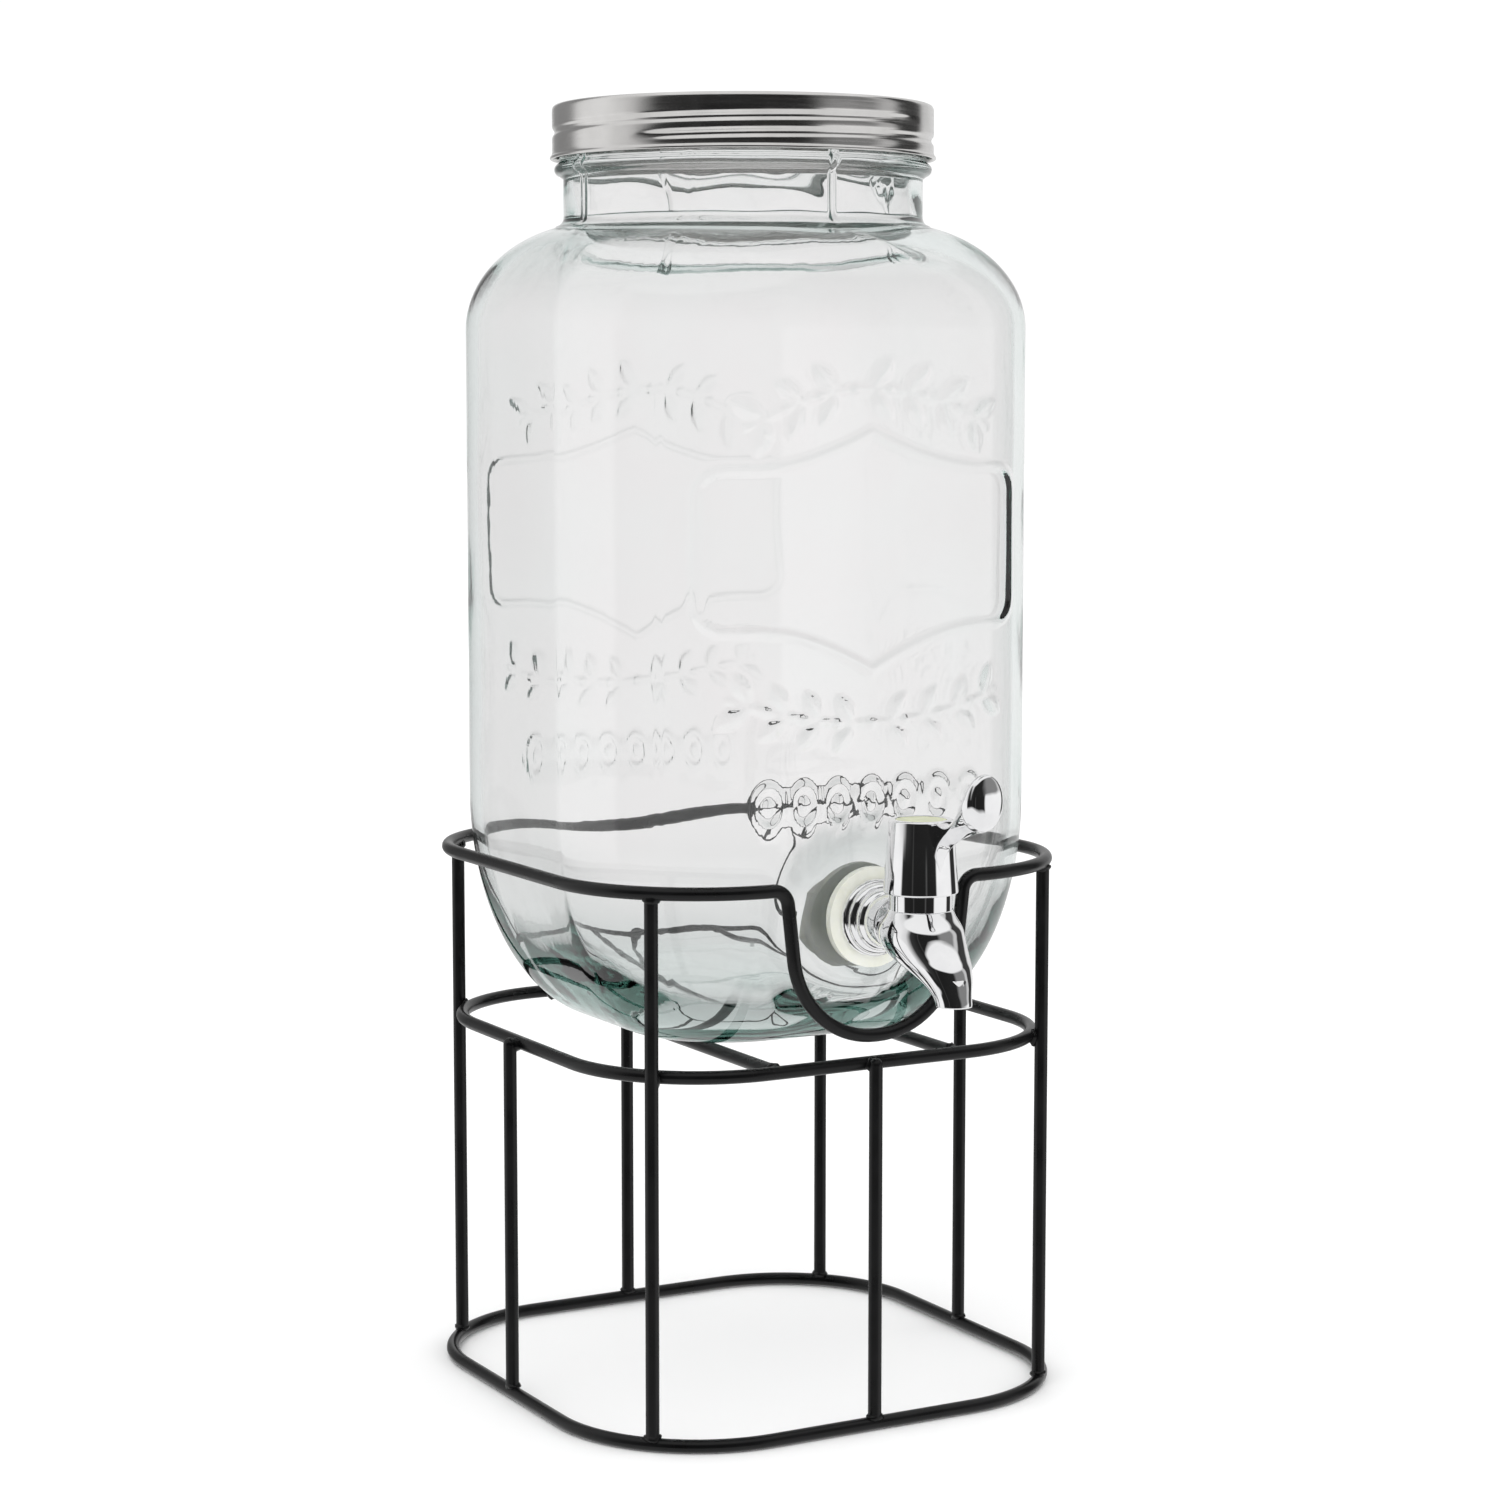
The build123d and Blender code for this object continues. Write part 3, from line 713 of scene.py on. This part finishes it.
def make_lid():
    top = lid_top_z
    panel = top - LID_PANEL_DROP
    hem = lid_low.z + LID_HEM_R
    outer = rounded([(8.0, panel), (LID_PANEL_R, panel), (LID_RIM_R, top), (LID_OUTER_R, top),
                     (LID_OUTER_R, top - 5)], 2.2, 7)[:-1]
    outer += [(LID_OUTER_R, z) for z in np.linspace(top - 2.6, hem + 2.4, 40)]
    curl = ((0.0, 2.0), (0.25, 0.9), (0.85, 0.35), (0.85, -0.5), (0.1, -LID_HEM_R), (-LID_PLATE, -0.3))
    outer += rounded([(LID_OUTER_R + out, hem + up) for out, up in curl], 0.35, 3)
    inner_r = LID_OUTER_R - LID_PLATE
    inner = [(inner_r, z) for z in np.linspace(hem + 1.0, top - 3.2, 30)]
    inner += rounded([(inner_r, top - 2.8), (inner_r, top - LID_PLATE), (LID_RIM_R, top - LID_PLATE),
                      (LID_PANEL_R, panel - LID_PLATE), (8.0, panel - LID_PLATE)], 1.8, 6)[1:]
    around = 360
    angles = np.linspace(0, 360, around, endpoint=False)
    turns = np.radians(angles)
    rows = []
    for radius, height in outer + inner:
        level = np.full(around, height)
        radii = np.full(around, radius)
        if radius > inner_r - 1.5:
            radii = radii - lid_groove(angles, level)
        dent = 0.05 * np.sin(np.radians(angles * 3 + 40))
        dent = dent + 0.03 * np.sin(np.radians(angles * 7 + height * 9))
        radii = radii + dent * (radius > 65)
        rows.append(np.column_stack((radii * np.cos(turns), radii * np.sin(turns), level)))
    lid = skin("screw_lid", rows, (0, 0, panel), (0, 0, panel - LID_PLATE))
    dress(lid, "tinplate", "lid", ("lid_shell",))


# ---------------------------------------------------------------- tap
OUTLET_DROP = 24.0              # below the shank's axis
OUTLET_FORWARD = 22.5           # in front of the plug's axis
SHANK_R = 7.9
SHANK_PITCH = 1.5
SHANK_GROOVE = 0.35
CAP_FOOT = 13.2                 # above the shank's axis
CAP_HEIGHT = 26.4


def spout_rows():
    """Elbow and spout: oval sections from under the collar down to the outlet."""
    # each column is a section: drop below the shank's axis, how far forward, half width and half depth
    drop = [-7.4, -5.0, -2.0, 1.5, 5.0, 8.0, 11.0, 13.5, 16.0, 19.0, 22.0, 24.0]
    forward = [0.0, 0.0, 0.0, 0.3, 2.0, 4.9, 9.6, 14.0, 17.6, 20.4, 22.0, 22.5]
    half_width = [11.6, 12.4, 13.3, 13.8, 13.4, 12.5, 11.2, 9.8, 8.5, 7.3, 6.6, 6.4]
    half_depth = [11.4, 13.0, 15.2, 16.4, 16.9, 16.5, 14.4, 11.3, 8.9, 7.2, 6.6, 6.4]
    samples = np.linspace(drop[0], drop[-1], 70)
    table = [smooth_curve(drop, column, samples) for column in (forward, half_width, half_depth)]
    angles = np.linspace(0, 2 * pi, 120, endpoint=False)
    rows = []
    for down, ahead, wide, deep in zip(samples, *table):
        bluntness = 2.0 + 0.5 * float(smoothstep(-6, 0, down)) * (1 - float(smoothstep(14, 22, down)))
        power = 2.0 / bluntness
        across = np.sign(np.cos(angles)) * np.abs(np.cos(angles)) ** power * wide
        along = np.sign(np.sin(angles)) * np.abs(np.sin(angles)) ** power * deep
        front = np.clip(-np.sin(angles), 0, None)
        keel = 0.9 * float(smoothstep(-7, 2, down)) * (1 - float(smoothstep(12, 20, down)))
        along = along - keel * front ** 10
        rows.append(np.column_stack((across, axis_y - ahead + along, np.full(len(angles), tap_z - down))))
    outlet_y = axis_y - OUTLET_FORWARD
    mouth = tap_z - OUTLET_DROP + 0.6
    lip = ((6.35, -0.35), (6.1, -0.6), (5.0, -0.6), (4.7, -0.4), (4.6, 0.0), (4.6, 4.0), (4.6, 9.0))
    for radius, up in lip:
        rows.append(np.column_stack((radius * np.cos(angles), outlet_y + radius * np.sin(angles),
                                     np.full(len(angles), mouth + up))))
    # the sections run downwards, so each is reversed to keep the faces outwards
    return [row[::-1] for row in rows]


def make_tap_body():
    elbow_rows = spout_rows()
    elbow = skin("elbow", elbow_rows, (0, axis_y, tap_z + 7.4),
                 (0, axis_y - OUTLET_FORWARD, elbow_rows[-1][0][2]))
    sleeve = rounded([(6.0, 3.0), (11.25, 3.0), (11.25, 14.0), (11.25, 18.4), (8.2, 18.4),
                      (8.2, 10.0)], 0.5, 4)
    collar = turned("collar", sleeve, (0, axis_y, tap_z), around=120)
    rings = rounded([(8.0, 0.0), (14.3, 0.0), (14.4, -1.7), (13.6, -3.0), (12.9, -3.2), (12.9, -4.6),
                     (12.0, -5.6), (11.2, -5.8), (11.1, -7.6), (10.3, -8.8), (9.7, -9.2), (9.7, -16.0),
                     (4.0, -16.0)], 0.6, 4)
    flange = turned("flange", rings[::-1], (0, flange_back_y, tap_z), axis="Y", around=120)
    shank = rounded([(4.3, 0.0), (4.3, 31.0), (SHANK_R - 0.7, 31.0), (SHANK_R, 30.0)], 0.3, 2)
    for height in np.linspace(29.6, 14.0, 60):
        crest = (1 + cos(height * 2 * pi / SHANK_PITCH)) / 2
        shank.append((SHANK_R - SHANK_GROOVE * crest, height))
    shank += [(SHANK_R, 13.0), (SHANK_R, 0.0)]
    thread = turned("thread", shank[::-1], (0, flange_back_y, tap_z), axis="Y", around=72)
    body = join("tap_casting", [elbow, collar, flange, thread])
    dress(body, "chrome_plate", "jar", ("tap_body",))


def make_handle():
    base = CAP_FOOT
    top = base + CAP_HEIGHT
    outline = [(9.0, top - 2.2), (9.1, top - 2.2), (9.15, top - 0.2), (9.5, top), (11.0, top),
               (11.5, top - 0.5), (13.4, base + 0.5), (13.1, base), (11.65, base), (11.6, base + 3.0),
               (6.0, base + 3.0)]
    outline = rounded(outline, 0.45, 4)[::-1]
    cap = turned("cap", outline, (0, axis_y, tap_z), around=144)

    # each column is a section of the lever: how far forward, half width, and its top and underside
    ahead = [8.0, 12.2, 15.5, 20.0, 25.0, 30.0, 34.0, 37.0, 39.5, 42.0, 43.8, 44.4]
    wide = [2.3, 2.3, 2.7, 3.6, 4.8, 6.1, 7.1, 7.65, 7.75, 6.9, 4.6, 2.2]
    high = [39.4, 39.4, 39.6, 40.4, 42.3, 45.4, 49.6, 54.6, 58.6, 59.3, 57.0, 53.4]
    low = [21.0, 21.2, 27.0, 31.4, 34.4, 36.4, 37.8, 38.6, 39.0, 40.4, 43.2, 46.4]
    samples = np.concatenate((np.linspace(8.0, 36.0, 34), np.linspace(36.4, 44.4, 30)))
    angles = np.linspace(0, 2 * pi, 72, endpoint=False)
    rows = []
    for place in samples:
        half = float(smooth_curve(ahead, wide, np.array([place]))[0])
        upper = float(smooth_curve(ahead, high, np.array([place]))[0])
        lower = float(smooth_curve(ahead, low, np.array([place]))[0])
        keel = 0.75 * (1 - float(smoothstep(20, 40, place)))
        across = np.cos(angles) * half
        below = np.clip(-np.sin(angles), 0, None)
        across = across * (1 - keel * below ** 1.4)
        height = (upper + lower) / 2 + np.sin(angles) * (upper - lower) / 2
        dish = 0.8 * float(smoothstep(14, 26, place)) * (1 - float(smoothstep(33, 38, place)))
        height = height - dish * np.clip(np.sin(angles), 0, None) ** 6
        rows.append(np.column_stack((across, np.full(len(angles), axis_y - place), tap_z + height)))
    lever = skin("lever", rows, (0, axis_y - 8.0, tap_z + 30), (0, axis_y - 44.48, tap_z + 50.0))
    handle = join("lever_cap", [cap, lever])
    dress(handle, "chrome_plate", "tap_lever", ("tap_handle",))


# ---------------------------------------------------------------- weld beads of the stand
def lump(centre, half_sizes, turn, seed, rows=10, around=14):
    """An uneven bead of weld metal: an ellipsoid with dents, turned about Z."""
    points = []
    for row in range(1, rows):
        slope = pi * row / rows
        ring = []
        for column in range(around):
            angle = 2 * pi * column / around
            uneven = 1 + 0.10 * sin(3 * angle + seed * 1.7 + 2 * slope)
            uneven += 0.07 * cos(5 * slope + seed + angle)
            x = half_sizes[0] * sin(slope) * cos(angle) * uneven
            y = half_sizes[1] * sin(slope) * sin(angle) * uneven
            z = -half_sizes[2] * cos(slope) * uneven
            ring.append((centre[0] + x * cos(turn) - y * sin(turn),
                         centre[1] + x * sin(turn) + y * cos(turn), centre[2] + z))
        points.append(ring)
    start = (centre[0], centre[1], centre[2] - half_sizes[2])
    end = (centre[0], centre[1], centre[2] + half_sizes[2])
    return skin("lump", points, start, end)


def make_welds():
    low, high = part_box("corner_leg_back_right")
    leg = (low.x + high.x) / 2 / MM
    bar_x = (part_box("support_bar_right")[0].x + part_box("support_bar_right")[1].x) / 2 / MM
    lumps = []
    seed = 0
    foot_z = wire_r + wire_r * 0.8
    for sign_x, sign_y in SIGNS:
        turn = np.arctan2(sign_y, sign_x)
        place = (sign_x * leg, sign_y * leg)
        inward = (place[0] - sign_x * wire_r * 0.72, place[1] - sign_y * wire_r * 0.72)
        lumps.append(lump((*place, foot_z + 0.4), (3.0, 3.4, 1.9), turn, seed))
        lumps.append(lump((*place, top_z - wire_r * 0.85), (2.9, 3.5, 2.1), turn, seed + 1))
        lumps.append(lump((*inward, middle_z - 0.6), (2.0, 2.5, 3.4), turn, seed + 2))
        seed += 3
    for place_x, place_y in ((0, -1), (0, 1), (-1, 0), (1, 0)):
        turn = np.arctan2(place_y, place_x)
        place = (place_x * stand_half, place_y * stand_half)
        lumps.append(lump((*place, foot_z + 0.4), (3.0, 3.4, 1.9), turn, seed))
        inward = (place[0] - place_x * wire_r * 0.9, place[1] - place_y * wire_r * 0.9)
        lumps.append(lump((*inward, middle_z - 0.4), (2.0, 2.9, 2.7), turn, seed + 1))
        seed += 2
    for place_x in (-bar_x, bar_x):
        for side in (-1, 1):
            place_y = side * (stand_half - 3.6 * wire_r)
            lumps.append(lump((place_x, place_y, middle_z), (3.1, 2.0, 2.9), 0, seed))
            seed += 1
    beads = join("weld_beads", lumps)
    limit = ring_high.x * MM
    for vert in beads.data.vertices:
        vert.co.x = min(max(vert.co.x, -limit), limit)
        vert.co.y = min(max(vert.co.y, -limit), limit)
        vert.co.z = max(vert.co.z, 0)
    dress(beads, "black_powder_coat", "stand")


# ---------------------------------------------------------------- CAD nodes that stay
def dress_frame():
    slots = {part["node"]: part["material_slot"] for part in frame["record"]["subparts"]}
    for name, piece in frame["nodes"].items():
        piece.data.materials.clear()
        piece.data.materials.append(MATERIALS[slots[name]])
        piece.data.polygons.foreach_set("use_smooth", [True] * len(piece.data.polygons))
        piece.data.set_sharp_from_angle(angle=radians(32))


# ---------------------------------------------------------------- stage
CAMERA_AZIMUTH = -28.9          # degrees, 0 looks along +Y
CAMERA_DISTANCE = 1.305         # metres, level, from the jar's axis
CAMERA_HEIGHT = 0.3839
CAMERA_TILT = 6.2
CAMERA_PAN = 0.116              # degrees that the view turns away from the axis
LENS = 81.6
FLOOR_HALF = 12.0


def make_camera():
    camera = bpy.data.cameras.new("camera")
    camera.lens = LENS
    camera.sensor_width = 36.0
    camera.clip_end = 60.0
    mount = bpy.data.objects.new("camera", camera)
    bpy.context.scene.collection.objects.link(mount)
    azimuth = radians(CAMERA_AZIMUTH)
    place = Vector((sin(azimuth) * CAMERA_DISTANCE, -cos(azimuth) * CAMERA_DISTANCE, CAMERA_HEIGHT))
    heading = azimuth - radians(CAMERA_PAN)
    level = Vector((-sin(heading), cos(heading), 0))
    right = Vector((cos(heading), sin(heading), 0))
    tilt = radians(CAMERA_TILT)
    forward = level * cos(tilt) - Vector((0, 0, 1)) * sin(tilt)
    up = right.cross(forward)
    turn = Matrix((right, up, -forward)).transposed().to_4x4()
    mount.matrix_world = Matrix.Translation(place) @ turn
    bpy.context.scene.camera = mount


def make_floor():
    corners = [(x * FLOOR_HALF, y * FLOOR_HALF, 0) for x, y in ((-1, -1), (1, -1), (1, 1), (-1, 1))]
    mesh = bpy.data.meshes.new("floor")
    mesh.from_pydata(corners, [], [(0, 1, 2, 3)])
    floor = bpy.data.objects.new("floor", mesh)
    bpy.context.scene.collection.objects.link(floor)
    made = Nodes("floor_paint", Roughness=0.9)
    made.shader.inputs["Specular IOR Level"].default_value = 0.0
    made.colours(made.noise(3, 2), (0.90, 0.90, 0.90), (0.92, 0.92, 0.92))
    mesh.materials.append(made.material)
    floor.visible_glossy = False
    floor.visible_transmission = False


def add_light(name, place, aim, size, power):
    light = bpy.data.lights.new(name, "AREA")
    light.shape = "RECTANGLE"
    light.size, light.size_y = size
    light.energy = power
    holder = bpy.data.objects.new(name, light)
    bpy.context.scene.collection.objects.link(holder)
    holder.location = place
    holder.rotation_euler = (Vector(aim) - Vector(place)).to_track_quat("-Z", "Y").to_euler()
    holder.visible_glossy = False
    holder.visible_transmission = False


# what polished metal sees round it at the level of the tap, and above it:
# (degrees from +X towards +Y, brightness)
STUDIO_LOW = ((0, 0.03), (12, 0.03), (17, 0.9), (72, 0.8), (84, 0.32), (116, 0.28), (124, 1.0), (174, 1.0),
              (179, 0.02), (210, 0.015), (213, 0.06), (216, 0.015), (252, 0.015), (256, 0.09), (260, 0.015),
              (286, 0.02), (290, 1.0), (344, 1.0), (349, 0.03), (360, 0.03))
STUDIO_HIGH = ((0, 0.05), (12, 0.05), (18, 0.8), (72, 0.8), (84, 0.3), (116, 0.3), (124, 0.9), (150, 0.95),
               (172, 0.75), (188, 0.04), (210, 0.015), (213, 0.05), (216, 0.015), (280, 0.02), (294, 0.24),
               (326, 0.24), (334, 0.6), (343, 0.6), (349, 0.04), (360, 0.05))
DIRECT_LIGHT = 1.05             # of the white surroundings, where they are seen directly
DIFFUSE_EXTRA = 0.25            # more of it for matt surfaces


class World:
    """Shader nodes of the surroundings."""

    def __init__(self, name):
        self.world = bpy.data.worlds.new(name)
        self.world.use_nodes = True
        self.tree = self.world.node_tree
        self.tree.nodes.clear()
        bpy.context.scene.world = self.world

    def node(self, kind, **links):
        """A node with its inputs linked; a keyword is an input's name, or _ and its number."""
        made = self.tree.nodes.new(kind)
        self.feed(made, **links)
        return made

    def feed(self, node, **links):
        for key, source in links.items():
            socket = node.inputs[int(key[1:]) if key.startswith("_") else key]
            if isinstance(source, (int, float, tuple)):
                socket.default_value = source
            else:
                self.tree.links.new(source, socket)

    def maths(self, operation, clamp=False, **links):
        made = self.node("ShaderNodeMath", **links)
        made.operation = operation
        made.use_clamp = clamp
        return made.outputs[0]

    def ranged(self, value, start, stop, low=0.0, high=1.0):
        made = self.node("ShaderNodeMapRange", Value=value)
        for socket, number in zip(("From Min", "From Max", "To Min", "To Max"), (start, stop, low, high)):
            made.inputs[socket].default_value = number
        return made.outputs["Result"]

    def ramp(self, value, levels):
        made = self.node("ShaderNodeValToRGB", Fac=value)
        elements = made.color_ramp.elements
        while len(elements) < len(levels):
            elements.new(0.5)
        for element, (angle, level) in zip(elements, levels):
            element.position = angle / 360
            element.color = (level, level, level, 1)
        return made.outputs["Color"]

    def mixed(self, share, first, second):
        made = self.node("ShaderNodeMix")
        made.data_type = "RGBA"
        self.feed(made, _0=share, _6=first, _7=second)
        return made.outputs[2]


def make_world():
    world = World("studio")
    path = world.node("ShaderNodeLightPath").outputs
    direction = world.node("ShaderNodeTexCoord").outputs["Generated"]
    x, y, z = world.node("ShaderNodeSeparateXYZ", Vector=direction).outputs

    # white surroundings; light that comes through the glass is less from the sides and from below
    direct = world.maths("MULTIPLY_ADD", _0=path["Is Diffuse Ray"], _1=DIFFUSE_EXTRA, _2=DIRECT_LIGHT)
    facing = world.node("ShaderNodeVectorMath", _0=direction,
                        _1=(sin(radians(-CAMERA_AZIMUTH)), cos(radians(CAMERA_AZIMUTH)), 0))
    facing.operation = "DOT_PRODUCT"
    ahead = world.maths("ABSOLUTE", _0=facing.outputs["Value"])
    through = world.maths("MULTIPLY", _0=world.ranged(ahead, 0.1, 0.8, 0.7, 1.0),
                          _1=world.ranged(z, -0.6, -0.14, 0.74, 0.98))
    strength = world.node("ShaderNodeMix", _0=path["Is Transmission Ray"], _2=direct, _3=through).outputs[0]
    white = world.node("ShaderNodeBackground", Color=(1, 1, 1, 1), Strength=strength).outputs[0]

    # dark and light bands round about, with a white ceiling and floor, for what metal and glass reflect
    turn = world.maths("MULTIPLY_ADD", _0=world.maths("ARCTAN2", _0=y, _1=x), _1=1 / (2 * pi), _2=1.0)
    around = world.maths("FRACT", _0=turn)
    bands = world.mixed(world.ranged(z, -0.01, 0.05), world.ramp(around, STUDIO_LOW),
                        world.ramp(around, STUDIO_HIGH))
    cover = world.maths("MAXIMUM", _0=world.ranged(z, 0.62, 0.70), _1=world.ranged(z, -0.24, -0.34))
    banded = world.node("ShaderNodeBackground", Color=world.mixed(cover, bands, (0.95, 0.95, 0.95, 1)))
    reflected = world.maths("SUBTRACT", clamp=True, _0=path["Is Glossy Ray"],
                            _1=path["Is Transmission Ray"])
    surface = world.node("ShaderNodeMixShader", _0=reflected, _1=white, _2=banded.outputs[0])
    world.node("ShaderNodeOutputWorld", Surface=surface.outputs[0])


def set_stage():
    make_camera()
    make_floor()
    make_world()
    add_light("key", (-1.2, -0.9, 1.8), (0, 0, 0.25), (1.2, 1.2), 5)
    add_light("fill", (1.5, -0.6, 1.4), (0, 0, 0.25), (1.0, 1.4), 3)
    bpy.context.scene.view_settings.view_transform = "Standard"
    # thick glass passes light on through many inner reflections
    bpy.context.scene.cycles.max_bounces = 40
    bpy.context.scene.cycles.glossy_bounces = 32
    bpy.context.scene.cycles.transmission_bounces = 32


dress_frame()
make_jar()
make_lid()
make_tap_body()
make_handle()
make_welds()
set_stage()
